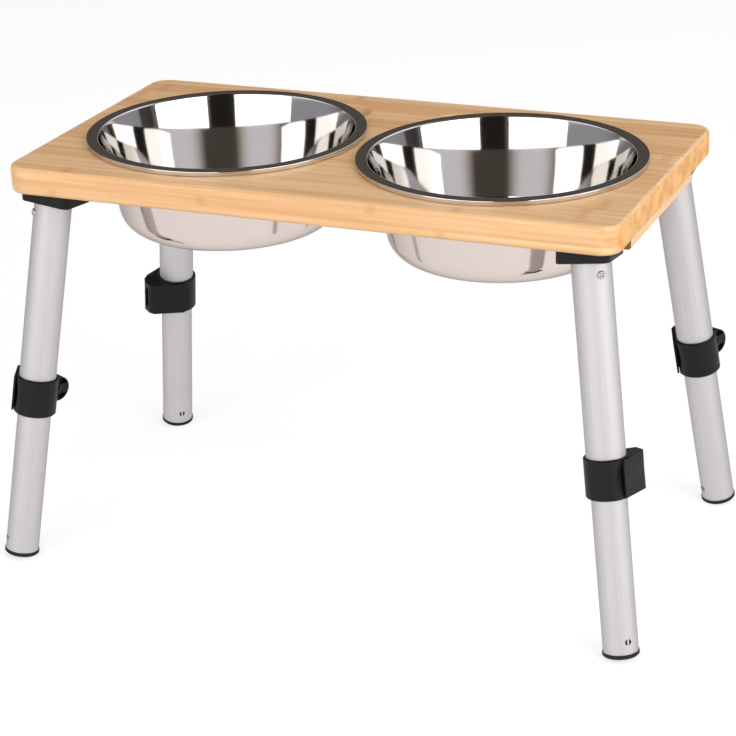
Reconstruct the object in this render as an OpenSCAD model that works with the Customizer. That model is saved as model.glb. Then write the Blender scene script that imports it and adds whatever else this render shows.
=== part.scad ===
// Raised feeder for a dog: a bamboo board on four splayed telescopic legs, with two steel bowls hung in it.
// X runs along the board, Y to the back and Z up. The origin is on the floor under the board's centre.

/* [Board] */
// Length of the board
board_l = 450; // [420:1:520]
// Depth of the board from front to back
board_w = 240; // [232:1:300]
// Thickness of the board
board_t = 20; // [15:0.5:26]
// Radius of the board's four corners in plan
corner_r = 15; // [8:0.5:24]
// Radius of the eased edges all round the board
edge_r = 3; // [1:0.25:5]
// Height of the board's top above the floor, with the legs as stored
stand_h = 302; // [280:1:330]

/* [Battens] */
// Width of the batten under each end of the board
batten_w = 18; // [14:0.5:20]
// Thickness of each batten
batten_t = 10; // [7:0.5:14]
// Inset of each batten from the board's end
batten_inset = 4; // [2:0.5:8]
// Space between a batten's end and the leg plates
batten_gap = 2; // [1:0.25:10]
// Bevel along a batten's lower edges
batten_bevel = 1.5; // [0.5:0.25:3]
// Distance of a batten's two screws from its middle
batten_screw_y = 48; // [30:1:60]

/* [Bowls] */
// Outer diameter of a bowl's rolled rim
rim_d = 204.6; // [196:0.2:208]
// Distance between the two bowls' centres
bowl_pitch = 212; // [210:0.5:220]
// Shift of both bowls towards the front
bowl_forward = 2; // [0:0.5:6]
// Inner diameter of a bowl's mouth
mouth_d = 186; // [170:0.5:190]
// Depth of a bowl below the board's top, measured inside
bowl_depth = 66; // [50:0.5:90]
// Lean of a bowl's wall from upright
wall_lean = 11.5; // [8:0.1:16]
// Lean of the wall at its top, where it flares out to the flange
flare_lean = 18; // [16.5:0.1:24]
// Radius of the flare along the wall
flare_r = 236; // [150:1:300]
// Inside radius between a bowl's wall and its base
base_fillet = 21; // [10:0.5:30]
// Radius of the bend from a bowl's wall into its flange
shoulder_r = 3; // [2:0.25:4]
// Thickness of the bowl's steel sheet
bowl_sheet = 0.9; // [0.6:0.1:1.4]
// Radius of the curled edge of the rim
roll_r = 1.7; // [1.5:0.1:2.2]
// Angle that the rim's edge is curled through
roll_turn = 235; // [180:5:250]
// Space between a bowl's wall and its hole in the board
bowl_clear = 1.2; // [0.6:0.1:2]

/* [Finger scoops] */
// Diameter of the finger scoop where it meets the board's top
scoop_d = 36; // [26:0.5:40]
// Depth of the finger scoop
scoop_depth = 10; // [6:0.5:12]
// Distance of the scoop's centre from the bowl's centre
scoop_reach = 97.5; // [94:0.5:104]
// Angle of the scoop round the bowl, from the board's length towards the back
scoop_angle = 49; // [40:1:70]

/* [Leg plates] */
// Distance of each leg's top from the board's end
leg_inset_x = 26; // [24:0.5:29]
// Distance of each leg's top from the board's long edge
leg_inset_y = 25.5; // [23:0.5:28]
// Splay of each leg, both along and across the board
splay = 7.1; // [3:0.1:9]
// Side of the square wedge plate under each corner
plate_size = 37; // [35:0.5:40]
// Thickness of a plate on the leg's axis
plate_t = 10.6; // [9:0.2:14]
// Corner radius of a plate in plan
plate_corner_r = 5; // [2:0.5:6]
// Length of the spigot that the leg tube is riveted to
spigot_len = 16; // [14:0.5:20]
// Wall of the hollow spigot
spigot_wall = 3; // [2:0.25:5]
// Distance of a plate's screws from the leg's axis, both ways
plate_screw_pos = 13; // [12.5:0.1:13.5]

/* [Screws] */
// Shank diameter of the wood screws
screw_d = 4; // [3:0.1:4.5]
// Head diameter of the wood screws
screw_head_d = 7; // [6:0.1:7.4]
// Height of a screw's head
screw_head_h = 2.4; // [1.8:0.1:2.6]
// Thickness of plate left above a screw's head
screw_seat = 3; // [2.5:0.1:3.6]
// Length of the cross recess in a screw's head
recess_l = 4.2; // [3:0.1:5]
// Width of the cross recess
recess_w = 1; // [0.6:0.1:1.4]
// Length of screw that bites into the board
screw_bite = 11; // [8:0.5:12]

/* [Leg tubes] */
// Outer diameter of the upper tube
tube_d = 27; // [26.4:0.1:27.6]
// Wall of the upper tube
tube_wall = 1; // [0.8:0.05:1.1]
// Length of the upper tube
tube_len = 149.5; // [140:0.5:165]
// Outer diameter of the lower tube
lower_d = 24.5; // [24:0.1:24.7]
// Wall of the lower tube
lower_wall = 1; // [0.8:0.05:1.5]
// Length of lower leg that stands inside the upper tube
overlap = 40; // [36:0.5:60]
// Height of the guide bush's land at the lower tube's top
bush_land = 8; // [5:0.5:10]
// Length of the guide bush inside the lower tube
bush_tail = 12; // [8:0.5:20]
// Diameter of the rivet that holds the tube on its spigot
rivet_d = 4; // [3:0.1:5]
// Diameter of the rivet's head
rivet_head_d = 7; // [6:0.1:8]
// Height of the rivet's head above the tube
rivet_head_h = 1.5; // [1:0.1:2]
// Distance of the rivet below the plate
rivet_drop = 9; // [7:0.25:11]

/* [Clamps] */
// Outer diameter of the clamp collar
collar_d = 31; // [30.4:0.1:32]
// Height of the clamp collar
collar_h = 28; // [27:0.5:32]
// Length of the collar above the upper tube's end
collar_grip = 16; // [14:0.5:18]
// Bevel round the collar's upper and lower edge
collar_bevel = 0.8; // [0.4:0.1:1.2]
// Width of the slit through the collar
slit_w = 2; // [1:0.1:3]
// Thickness of the nut's ear beside the slit
ear_t = 5; // [4.5:0.1:6]
// Thickness of the ear that the lever's cam presses on
cam_ear_t = 8; // [7:0.1:8.4]
// Radius of the ears' round end
ear_r = 9.3; // [8.6:0.1:9.6]
// Distance of the ears' bolt from the leg's axis
ear_x = 16.5; // [16.3:0.1:17.2]
// Height of the ears' bolt above the collar's lower edge
ear_z = 16.8; // [12:0.1:17.2]
// Depth of the two pockets cored in the nut's ear
pocket_depth = 3; // [1:0.1:3.4]
// Width of the bar between the two pockets
pocket_bar = 7.4; // [7.2:0.1:9]
// Rim left round the pockets
pocket_rim = 1; // [0.8:0.1:1.6]
// Diameter of the clamp's eye bolt
bolt_d = 3; // [2.5:0.1:3.2]
// Size of the nut across its flats
nut_af = 5.5; // [5:0.1:5.7]
// Height of the nut
nut_h = 2.4; // [2:0.1:3]
// Depth of the nut's seat in its ear
nut_seat = 2; // [1.4:0.1:2.4]

/* [Levers] */
// Height of the lever, along the leg
lever_h = 26; // [23:0.5:26.5]
// Angle from the ears to the lever's free end
lever_wrap = 151; // [135:1:158]
// Distance of the free end's outer corner from the leg's axis
free_r = 17.5; // [17.4:0.1:20]
// Angle from the ears to the lever's elbow, where its thumb face starts
elbow_angle = 85; // [80:1:90]
// Distance of the elbow from the leg's axis
elbow_r = 26.1; // [25.6:0.1:27]
// Distance of the lever's back from the leg's axis
back_r = 27.6; // [27:0.1:28.4]
// Angle from the ears to the first corner of the lever's back
back_from = 60; // [56:1:64]
// Angle from the ears to the second corner of the lever's back
back_to = 76; // [70:1:78]
// Distance of the arm's inner corner, beside the hinge, from the leg's axis
end_r = 17.8; // [17.4:0.1:18.4]
// Depth of the flat on the collar, under the lever's thumb face
flat_depth = 0.6; // [0.3:0.1:0.8]
// Space between the lever and the collar
lever_gap = 0.35; // [0.3:0.05:0.8]
// Radius of the lever's cam
cam_r = 4.6; // [4.2:0.1:5]
// Throw of the cam, which draws the collar tight
cam_throw = 0.5; // [0.2:0.1:0.8]
// Turn of the cam at which the lever's back leaves it
cam_leave = 20; // [10:1:30]
// Diameter of the lever's hinge pin
pin_d = 3; // [2.5:0.1:3.4]
// Height of the bolt's eye round the pin
eye_h = 7; // [5:0.5:9]
// Wall of the bolt's eye round the pin
eye_wall = 2; // [1.5:0.1:2.4]
// Height of the knuckle that the pin runs in
knuckle_h = 14; // [12:0.5:16]
// Drop of the knuckle's back below the lever's back
knuckle_drop = 3; // [2:0.5:6]
// Radius of the core inside the lever's elbow
core_r = 6; // [5:0.1:6.4]
// Place of the core's centre along the ears
core_x = 5.5; // [5:0.1:6]
// Place of the core's centre across the ears
core_y = 16.5; // [16:0.1:17]
// Thickness of the lever's upper and lower web beside the core
web_t = 3.5; // [2.5:0.1:5]
// Width of the window in the lever's back
window_w = 4; // [2:0.1:5]
// Height of the window in the lever's back
window_h = 17; // [10:0.5:18]
// Depth of the thumb groove at the elbow
groove_depth = 1.6; // [0.8:0.1:2]
// Half the height of the thumb groove at the elbow
groove_h = 10.5; // [8:0.5:11]
// Length of the thumb groove, from the elbow to its point
groove_len = 22; // [16:0.5:23]
// Depth of the collar's finger hollow beside the lever
hollow_depth = 1.4; // [0.8:0.1:1.6]
// Height of the finger hollow
hollow_h = 23; // [16:0.5:24]

/* [Feet] */
// Diameter of the foot's flange
foot_d = 25.6; // [25:0.1:27]
// Thickness of the foot's flange
foot_t = 3; // [2:0.1:5]
// Round of the foot's lower edge
foot_edge = 1; // [0.4:0.1:1.4]
// Length of the foot's plug inside the tube
foot_plug = 20; // [17:0.5:30]
// Wall of the foot's hollow plug
foot_wall = 3; // [2:0.25:5]
// Diameter of the foot's snap nubs
nub_d = 4.5; // [3:0.1:6]
// Distance of the nubs above the foot's flange
nub_up = 9; // [6:0.25:12]
// Depth of the flat that a foot stands on
foot_flat = 0.5; // [0.3:0.05:0.8]

/* [Fits] */
// Radial clearance of pins and sliding tubes
run_fit = 0.05; // [0.02:0.01:0.09]
// Radial clearance of pieces that are fixed together
set_fit = 0.02; // [0.01:0.01:0.05]
// Clearance under a bowl's rim and beside the lever's cam
seat_gap = 0.2; // [0.1:0.05:0.4]

/* [Hidden] */
$fn = 96;

// Each leg: side along X, side along Y, direction of its clamp's ears in degrees, and the clamp's hand
front_left = [-1, -1, 69, 1];
front_right = [1, -1, 121, -1];
back_left = [-1, 1, 168, 1];
back_right = [1, 1, 63, 1];
legs = [front_left, front_right, back_left, back_right];

// A length longer than any cut needs
far = 1000;
// Overshoot of a cutting tool past the face that it enters
past = 1;
// Facets of large round forms
fine = 180;

// Board and bowls
board_z = stand_h - board_t;
rim_r = rim_d / 2;
mouth_r = mouth_d / 2;
hole_r = mouth_r + bowl_sheet + bowl_clear;
scoop_r = scoop_d / 2;
scoop_ball = (scoop_r * scoop_r + scoop_depth * scoop_depth) / (2 * scoop_depth);
leg_x = board_l / 2 - leg_inset_x;
leg_y = board_w / 2 - leg_inset_y;
batten_x = board_l / 2 - batten_inset - batten_w / 2;
batten_l = 2 * (leg_y - plate_size / 2 - batten_gap);
screw_hole_d = screw_d + 2 * set_fit;
head_hole_d = screw_head_d + 4 * set_fit;

// Tilt of a leg's axis, which leans by the splay both ways
lean_x = atan(tan(splay) * cos(splay));
cos_tilt = cos(lean_x) * cos(splay);
sin_tilt = sqrt(1 - cos_tilt * cos_tilt);

// Distances down a leg's axis from the underside of the board
leg_len = (board_z - foot_d / 2 * sin_tilt + foot_flat) / cos_tilt;
tube_end = plate_t + tube_len;
collar_top = tube_end - collar_grip;
collar_end = collar_top + collar_h;
lower_top = tube_end - overlap;
lower_end = leg_len - foot_t;
tube_bore_d = tube_d - 2 * tube_wall;
lower_bore_d = lower_d - 2 * lower_wall;

// Clamp, measured from the collar's lower edge, with its ears along X and its lever on the Y side
ear_face = slit_w / 2 + ear_t;
cam_face = slit_w / 2 + cam_ear_t;
pin_y = cam_face + seat_gap / 2 + cam_r + cam_throw;
eye_r = pin_d / 2 + eye_wall;
bolt_hole_d = bolt_d + 4 * run_fit;
nut_hole_af = nut_af + 4 * run_fit;
pocket_start = collar_d / 2 + pocket_rim;
lever_z = (collar_h - lever_h) / 2;
// Corners of the lever's plan, from its free end round to the hinge, and the direction of its thumb face
free_end = on_circle([0, 0], free_r, lever_wrap);
elbow = on_circle([0, 0], elbow_r, elbow_angle);
back_end = on_circle([0, 0], back_r, back_from);
hinge_end = on_circle([0, 0], end_r, atan2(pin_y, ear_x));
face_turn = atan2(free_end[1] - elbow[1], free_end[0] - elbow[0]);

// Point of a circle at an angle
function on_circle(centre, r, a) = [centre[0] + r * cos(a), centre[1] + r * sin(a)];
// Points of an arc from one angle to another, from the first step that is asked for
function arc(centre, r, from, to, first = 0, steps = 10) =
    [for (i = [first : steps]) on_circle(centre, r, from + (to - from) * i / steps)];

// Frame of a leg: origin under the board on the leg's axis, with Z up along the axis
module at_leg(leg) {
    translate([leg[0] * leg_x, leg[1] * leg_y, board_z])
        rotate([leg[1] * lean_x, -leg[0] * splay, 0])
            children();
}

// Frame of a leg's clamp: origin on the axis at the collar's lower edge
module at_clamp(leg) {
    at_leg(leg)
        translate([0, 0, -collar_end])
            rotate(leg[2])
                mirror([0, leg[3] < 0 ? 1 : 0, 0])
                    children();
}

// Direction that a leg's rivet and nubs face: outwards along the diagonal
module facing_out(leg) {
    rotate(atan2(leg[1], leg[0]))
        rotate([0, 90, 0])
            children();
}

// Upright prism with rounded corners
module rounded_prism(size, height, r) {
    linear_extrude(height) {
        square([size, size - 2 * r], center = true);
        square([size - 2 * r, size], center = true);
        for (x = [-1, 1], y = [-1, 1])
            translate([x, y] * (size / 2 - r))
                circle(r);
    }
}

// Section of the board's slab with all four edges eased
module eased_section(width) {
    translate([-width / 2 + edge_r, 0])
        square([width - 2 * edge_r, board_t]);
    translate([-width / 2, edge_r])
        square([width, board_t - 2 * edge_r]);
    for (x = [-1, 1], y = [edge_r, board_t - edge_r])
        translate([x * (width / 2 - edge_r), y])
            circle(edge_r);
}

// Board blank: two crossed slabs and four turned corners share one eased section
module board_blank() {
    translate([board_l / 2 - corner_r, 0, 0])
        rotate([90, 0, -90])
            linear_extrude(board_l - 2 * corner_r)
                eased_section(board_w);
    translate([0, board_w / 2 - corner_r, 0])
        rotate([90, 0, 0])
            linear_extrude(board_w - 2 * corner_r)
                eased_section(board_l);
    for (x = [-1, 1], y = [-1, 1])
        translate([x * (board_l / 2 - corner_r), y * (board_w / 2 - corner_r), 0])
            rotate_extrude()
                intersection() {
                    eased_section(2 * corner_r);
                    square([corner_r, board_t]);
                }
}

module board() {
    color("burlywood")
    translate([0, 0, board_z])
        difference() {
            board_blank();
            for (side = [-1, 1])
                translate([side * bowl_pitch / 2, -bowl_forward, 0]) {
                    translate([0, 0, -past])
                        cylinder(r = hole_r, h = board_t + 2 * past);
                    rotate(side < 0 ? scoop_angle : 180 - scoop_angle)
                        translate([scoop_reach, 0, board_t + scoop_ball - scoop_depth])
                            sphere(scoop_ball);
                }
            for (leg = legs)
                at_plate_screws(leg)
                    screw_hole();
            for (side = [-1, 1])
                at_batten_screws(side)
                    screw_hole();
        }
}

// Pilot hole up into the board
module screw_hole() {
    translate([0, 0, -past])
        cylinder(d = screw_hole_d, h = screw_bite + 2 * past);
}

// Places of a plate's four screws, on the underside of the board
module at_plate_screws(leg) {
    for (x = [-1, 1], y = [-1, 1])
        translate([leg[0] * leg_x + x * plate_screw_pos, leg[1] * leg_y + y * plate_screw_pos, 0])
            children();
}

// Places of a batten's two screws, on the underside of the board
module at_batten_screws(side) {
    for (y = [-1, 1])
        translate([side * batten_x, y * batten_screw_y, 0])
            children();
}

// Section of a batten hung below the board, with its lower edges bevelled
module batten_section() {
    polygon([
        [-batten_w / 2, 0],
        [-batten_w / 2, batten_bevel - batten_t],
        [batten_bevel - batten_w / 2, -batten_t],
        [batten_w / 2 - batten_bevel, -batten_t],
        [batten_w / 2, batten_bevel - batten_t],
        [batten_w / 2, 0]
    ]);
}

module batten(side) {
    color("burlywood")
    translate([0, 0, board_z])
        difference() {
            translate([side * batten_x, batten_l / 2, 0])
                rotate([90, 0, 0])
                    linear_extrude(batten_l)
                        batten_section();
            at_batten_screws(side) {
                translate([0, 0, -batten_t - past])
                    cylinder(d = screw_hole_d, h = batten_t + 2 * past);
                translate([0, 0, -batten_t - past])
                    cylinder(d = head_hole_d, h = screw_head_h + past);
            }
        }
}

// Wood screw with its head below the origin and its shank pointing up, and a cross recess in the head
module wood_screw(shank) {
    difference() {
        union() {
            translate([0, 0, -screw_head_h])
                cylinder(d = screw_head_d, h = screw_head_h);
            cylinder(d = screw_d, h = shank);
        }
        for (turn = [0, 90])
            rotate(turn)
                translate([-recess_l / 2, -recess_w / 2, -screw_head_h - past])
                    cube([recess_l, recess_w, screw_head_h / 2 + past]);
    }
}

module batten_screws() {
    color("silver")
    for (side = [-1, 1])
        at_batten_screws(side)
            translate([0, 0, board_z - batten_t + screw_head_h])
                wood_screw(batten_t - screw_head_h + screw_bite);
}

// Section of a bowl from its axis outwards, with the board's top at zero: one sheet from the base to the curl
module bowl_section() {
    rim_top = seat_gap + 2 * roll_r;
    shoulder = [mouth_r + shoulder_r, rim_top - shoulder_r];
    flare_top = on_circle(shoulder, shoulder_r, 180 - flare_lean);
    flare = on_circle(flare_top, flare_r, -flare_lean);
    wall_top = on_circle(flare, flare_r, 180 - wall_lean);
    fillet_z = base_fillet - bowl_depth;
    wall_len = (wall_top[1] - fillet_z + base_fillet * sin(wall_lean)) / cos(wall_lean);
    fillet = [wall_top[0] - wall_len * sin(wall_lean) - base_fillet * cos(wall_lean), fillet_z];
    curl = [rim_r - roll_r, seat_gap + roll_r];
    polygon(concat(
        [[0, -bowl_depth]],
        arc(fillet, base_fillet, -90, -wall_lean),
        arc(flare, flare_r, 180 - wall_lean, 180 - flare_lean),
        arc(shoulder, shoulder_r, 180 - flare_lean, 90, first = 1),
        arc(curl, roll_r, 90, 90 - roll_turn),
        arc(curl, roll_r - bowl_sheet, 90 - roll_turn, 90),
        arc(shoulder, shoulder_r - bowl_sheet, 90, 180 - flare_lean),
        arc(flare, flare_r - bowl_sheet, 180 - flare_lean, 180 - wall_lean, first = 1),
        arc(fillet, base_fillet + bowl_sheet, -wall_lean, -90),
        [[0, -bowl_depth - bowl_sheet]]
    ));
}

module bowl(side) {
    color("gainsboro")
    translate([side * bowl_pitch / 2, -bowl_forward, stand_h])
        rotate_extrude($fn = fine)
            bowl_section();
}

// Wedge plate: upright walls in line with the board, and a lower face square to the leg
module leg_plate(leg) {
    wedge_depth = plate_t + plate_size;
    color("dimgray")
    difference() {
        union() {
            intersection() {
                translate([leg[0] * leg_x, leg[1] * leg_y, board_z - wedge_depth])
                    rounded_prism(plate_size, wedge_depth, plate_corner_r);
                at_leg(leg)
                    translate([-plate_size, -plate_size, -plate_t])
                        cube([2 * plate_size, 2 * plate_size, wedge_depth]);
            }
            at_leg(leg)
                translate([0, 0, -plate_t - spigot_len])
                    cylinder(d = tube_bore_d - 2 * set_fit, h = spigot_len + past);
        }
        at_leg(leg) {
            translate([0, 0, -plate_t - spigot_len - past])
                cylinder(d = tube_bore_d - 2 * spigot_wall, h = spigot_len + past);
            rivet_hole(leg);
        }
        at_plate_screws(leg) {
            translate([0, 0, board_z - far])
                cylinder(d = screw_hole_d, h = far + past);
            translate([0, 0, board_z - screw_seat - far])
                cylinder(d = head_hole_d, h = far);
        }
    }
}

module plate_screws() {
    color("silver")
    for (leg = legs)
        at_plate_screws(leg)
            translate([0, 0, board_z - screw_seat])
                wood_screw(screw_seat + screw_bite);
}

// Hole for a leg's rivet, in the leg's frame
module rivet_hole(leg) {
    translate([0, 0, -plate_t - rivet_drop])
        facing_out(leg)
            cylinder(d = rivet_d + 2 * set_fit, h = tube_d);
}

module upper_tube(leg) {
    color("lightgray")
    at_leg(leg)
        difference() {
            translate([0, 0, -tube_end])
                cylinder(d = tube_d, h = tube_len);
            translate([0, 0, -tube_end - past])
                cylinder(d = tube_bore_d, h = tube_len + 2 * past);
            rivet_hole(leg);
        }
}

// Rivet whose domed head is seated on the round of the tube
module tube_rivets() {
    shank_in = tube_bore_d / 2 - spigot_wall;
    dome_r = (rivet_head_d * rivet_head_d / 4 + rivet_head_h * rivet_head_h) / (2 * rivet_head_h);
    color("silver")
    for (leg = legs)
        at_leg(leg)
            difference() {
                translate([0, 0, -plate_t - rivet_drop])
                    facing_out(leg) {
                        translate([0, 0, shank_in])
                            cylinder(d = rivet_d, h = tube_d / 2 - shank_in + rivet_head_h / 2);
                        intersection() {
                            translate([0, 0, tube_d / 2 - rivet_head_h / 2])
                                cylinder(d = rivet_head_d, h = rivet_head_h * 2);
                            translate([0, 0, tube_d / 2 + rivet_head_h - dome_r])
                                sphere(dome_r);
                        }
                    }
                rivet_collar_cut(leg);
            }
}

// Ring round the rivet's shank that follows the tube, so the head meets the tube's face
module rivet_collar_cut(leg) {
    difference() {
        translate([0, 0, -plate_t - rivet_drop - rivet_head_d])
            cylinder(d = tube_d, h = 2 * rivet_head_d);
        translate([0, 0, -plate_t - rivet_drop])
            facing_out(leg)
                cylinder(d = rivet_d, h = tube_d);
    }
}

// Round-ended outline of an ear, along the clamp's X and Z
module ear_outline(r) {
    translate([ear_x, ear_z])
        circle(r);
    translate([tube_bore_d / 2, ear_z - r])
        square([ear_x - tube_bore_d / 2, 2 * r]);
}

// Slab of an outline between two places along the clamp's Y
module across(from, to) {
    translate([0, to, 0])
        rotate([90, 0, 0])
            linear_extrude(to - from)
                children();
}

// Round of the collar with its flat, grown by a clearance
module flatted_circle(clear) {
    intersection() {
        circle(collar_d / 2 + clear);
        rotate(face_turn - 90)
            translate([collar_d / 2 - flat_depth + clear - far, -far / 2])
                square(far);
    }
}

// Barrel of the collar with bevelled rims
module collar_barrel() {
    r = collar_d / 2;
    rotate_extrude()
        polygon([
            [0, 0],
            [r - collar_bevel, 0],
            [r, collar_bevel],
            [r, collar_h - collar_bevel],
            [r - collar_bevel, collar_h],
            [0, collar_h]
        ]);
}

// Finger hollow beside the lever's free end, scooped from the barrel by a large ball
module finger_hollow() {
    ball = (hollow_h * hollow_h / 4 + hollow_depth * hollow_depth) / (2 * hollow_depth);
    rotate(lever_wrap)
        translate([collar_d / 2 - hollow_depth + ball, 0, collar_h / 2])
            sphere(ball, $fn = fine);
}

// Two cored pockets in the nut's ear, with a bar left between them
module ear_pockets() {
    across(-ear_face - past, pocket_depth - ear_face)
        intersection() {
            translate([ear_x, ear_z])
                difference() {
                    circle(ear_r - pocket_rim);
                    translate([-far / 2, -pocket_bar / 2])
                        square([far, pocket_bar]);
                }
            translate([pocket_start, 0])
                square([far, collar_h]);
        }
}

module collar(leg) {
    color("black")
    at_clamp(leg)
        difference() {
            union() {
                intersection() {
                    collar_barrel();
                    linear_extrude(collar_h)
                        flatted_circle(0);
                }
                across(-ear_face, cam_face)
                    ear_outline(ear_r);
            }
            translate([0, 0, collar_h - collar_grip])
                cylinder(d = tube_d + 2 * set_fit, h = collar_grip + past);
            translate([0, 0, -past])
                cylinder(d = lower_d + 2 * run_fit, h = collar_h);
            translate([0, -slit_w / 2, -past])
                cube([far, slit_w, collar_h + 2 * past]);
            across(-ear_face - past, cam_face + past)
                translate([ear_x, ear_z])
                    circle(d = bolt_hole_d);
            across(-ear_face - past, nut_seat - ear_face)
                translate([ear_x, ear_z])
                    circle(d = nut_hole_af / cos(30), $fn = 6);
            ear_pockets();
            finger_hollow();
        }
}

// Steel eye bolt through both ears, with its eye round the lever's pin
module clamp_bolts() {
    color("silver")
    for (leg = legs)
        at_clamp(leg)
            difference() {
                union() {
                    across(nut_seat - ear_face - nut_h - past, pin_y)
                        translate([ear_x, ear_z])
                            circle(d = bolt_d);
                    translate([ear_x, pin_y, ear_z - eye_h / 2])
                        cylinder(r = eye_r, h = eye_h);
                }
                translate([ear_x, pin_y, 0])
                    cylinder(d = pin_d + 2 * set_fit, h = collar_h);
            }
}

module clamp_nuts() {
    color("silver")
    for (leg = legs)
        at_clamp(leg)
            across(nut_seat - ear_face - nut_h, nut_seat - ear_face)
                translate([ear_x, ear_z])
                    difference() {
                        circle(d = nut_af / cos(30), $fn = 6);
                        circle(d = bolt_d + 2 * set_fit);
                    }
}

module lever_pins() {
    color("silver")
    for (leg = legs)
        at_clamp(leg)
            translate([ear_x, pin_y, ear_z - knuckle_h / 2])
                cylinder(d = pin_d, h = knuckle_h);
}

// Plan of the lever's arm: a thumb face from the free end to the elbow, a back, and an end beside the hinge
module arm_outline() {
    difference() {
        polygon([
            [0, 0],
            free_end,
            elbow,
            on_circle([0, 0], back_r, back_to),
            back_end,
            hinge_end
        ]);
        flatted_circle(lever_gap);
    }
}

// Plan of the lever's knuckle: the cam, and a web that runs into the arm
module knuckle_outline() {
    cam = [ear_x, pin_y - cam_throw];
    translate(cam)
        circle(cam_r);
    polygon([
        cam,
        on_circle(cam, cam_r, cam_leave),
        [back_end[0] - past, back_end[1] - knuckle_drop],
        [hinge_end[0] - past, hinge_end[1]]
    ]);
}

// Thumb groove: two planes that meet in a valley, which is deep at the elbow and runs out to a point
module thumb_groove() {
    translate([elbow[0], elbow[1], collar_h / 2])
        rotate(face_turn)
            translate([0, groove_depth, 0])
                rotate(-atan2(groove_depth, groove_len))
                    intersection_for (up = [1, -1])
                        rotate([up * atan2(groove_depth, groove_h), 0, 0])
                            translate([-collar_d, -2 * collar_d, -collar_d])
                                cube(2 * collar_d);
}

module lever(leg) {
    window_at = (back_from + back_to) / 2;
    color("black")
    at_clamp(leg)
        difference() {
            union() {
                translate([0, 0, lever_z])
                    linear_extrude(lever_h)
                        arm_outline();
                translate([0, 0, ear_z - knuckle_h / 2])
                    linear_extrude(knuckle_h)
                        knuckle_outline();
            }
            translate([ear_x, pin_y, 0])
                cylinder(d = pin_d + 2 * run_fit, h = collar_h);
            translate([ear_x, pin_y, ear_z - eye_h / 2 - 2 * seat_gap])
                cylinder(r = cam_r + 2 * cam_throw + past, h = eye_h + 4 * seat_gap);
            translate([core_x, core_y, lever_z + web_t])
                cylinder(r = core_r, h = lever_h - 2 * web_t);
            rotate(window_at)
                translate([norm([core_x, core_y]), -window_w / 2, (collar_h - window_h) / 2])
                    cube([collar_d, window_w, window_h]);
            thumb_groove();
        }
}

module lower_tube(leg) {
    color("lightgray")
    at_leg(leg)
        difference() {
            translate([0, 0, -lower_end])
                cylinder(d = lower_d, h = lower_end - lower_top - bush_land);
            translate([0, 0, -lower_end - past])
                cylinder(d = lower_bore_d, h = lower_end - lower_top + 2 * past);
            translate([0, 0, nub_up - lower_end])
                for (turn = [0, 180])
                    rotate(turn)
                        facing_out(leg)
                            cylinder(d = nub_d + 2 * set_fit, h = tube_d);
        }
}

// Guide bush: a land that runs in the upper tube, and a tail in the lower tube
module guide_bush(leg) {
    color("dimgray")
    at_leg(leg)
        translate([0, 0, -lower_top - bush_land])
            difference() {
                union() {
                    cylinder(d = tube_bore_d - 2 * run_fit, h = bush_land);
                    translate([0, 0, -bush_tail])
                        cylinder(d = lower_bore_d - 2 * set_fit, h = bush_tail + past);
                }
                translate([0, 0, -bush_tail - past])
                    cylinder(d = lower_bore_d - 2 * foot_wall, h = bush_tail + bush_land + 2 * past);
            }
}

// Foot: a flange square to the leg, a hollow plug and two nubs that snap into the tube
module foot(leg) {
    plug_d = lower_bore_d - 2 * set_fit;
    color("black")
    difference() {
        at_leg(leg)
            translate([0, 0, -leg_len])
                difference() {
                    union() {
                        rotate_extrude()
                            polygon([
                                [0, 0],
                                [foot_d / 2 - foot_edge, 0],
                                [foot_d / 2, foot_edge],
                                [foot_d / 2, foot_t],
                                [0, foot_t]
                            ]);
                        cylinder(d = plug_d, h = foot_t + foot_plug);
                        translate([0, 0, foot_t + nub_up])
                            for (turn = [0, 180])
                                rotate(turn)
                                    facing_out(leg)
                                        translate([0, 0, plug_d / 2 - foot_wall])
                                            cylinder(d = nub_d, h = foot_wall + lower_wall);
                    }
                    translate([0, 0, foot_t])
                        cylinder(d = plug_d - 2 * foot_wall, h = foot_plug + past);
                }
        translate([-far / 2, -far / 2, -far])
            cube(far);
    }
}

board();
batten(-1);  // batten_left
batten(1);  // batten_right
batten_screws();
bowl(-1);  // bowl_left
bowl(1);  // bowl_right
leg_plate(front_left);  // leg_plate_front_left
leg_plate(front_right);  // leg_plate_front_right
leg_plate(back_left);  // leg_plate_back_left
leg_plate(back_right);  // leg_plate_back_right
plate_screws();
upper_tube(front_left);  // upper_tube_front_left
upper_tube(front_right);  // upper_tube_front_right
upper_tube(back_left);  // upper_tube_back_left
upper_tube(back_right);  // upper_tube_back_right
tube_rivets();
collar(front_left);  // collar_front_left
collar(front_right);  // collar_front_right
collar(back_left);  // collar_back_left
collar(back_right);  // collar_back_right
clamp_bolts();
clamp_nuts();
lever_pins();
lever(front_left);  // lever_front_left
lever(front_right);  // lever_front_right
lever(back_left);  // lever_back_left
lever(back_right);  // lever_back_right
lower_tube(front_left);  // lower_tube_front_left
lower_tube(front_right);  // lower_tube_front_right
lower_tube(back_left);  // lower_tube_back_left
lower_tube(back_right);  // lower_tube_back_right
guide_bush(front_left);  // guide_bush_front_left
guide_bush(front_right);  // guide_bush_front_right
guide_bush(back_left);  // guide_bush_back_left
guide_bush(back_right);  // guide_bush_back_right
foot(front_left);  // foot_front_left
foot(front_right);  // foot_front_right
foot(back_left);  // foot_back_left
foot(back_right);  // foot_back_right
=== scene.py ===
import math

import bmesh
import bpy
from mathutils import Matrix, Vector


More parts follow.
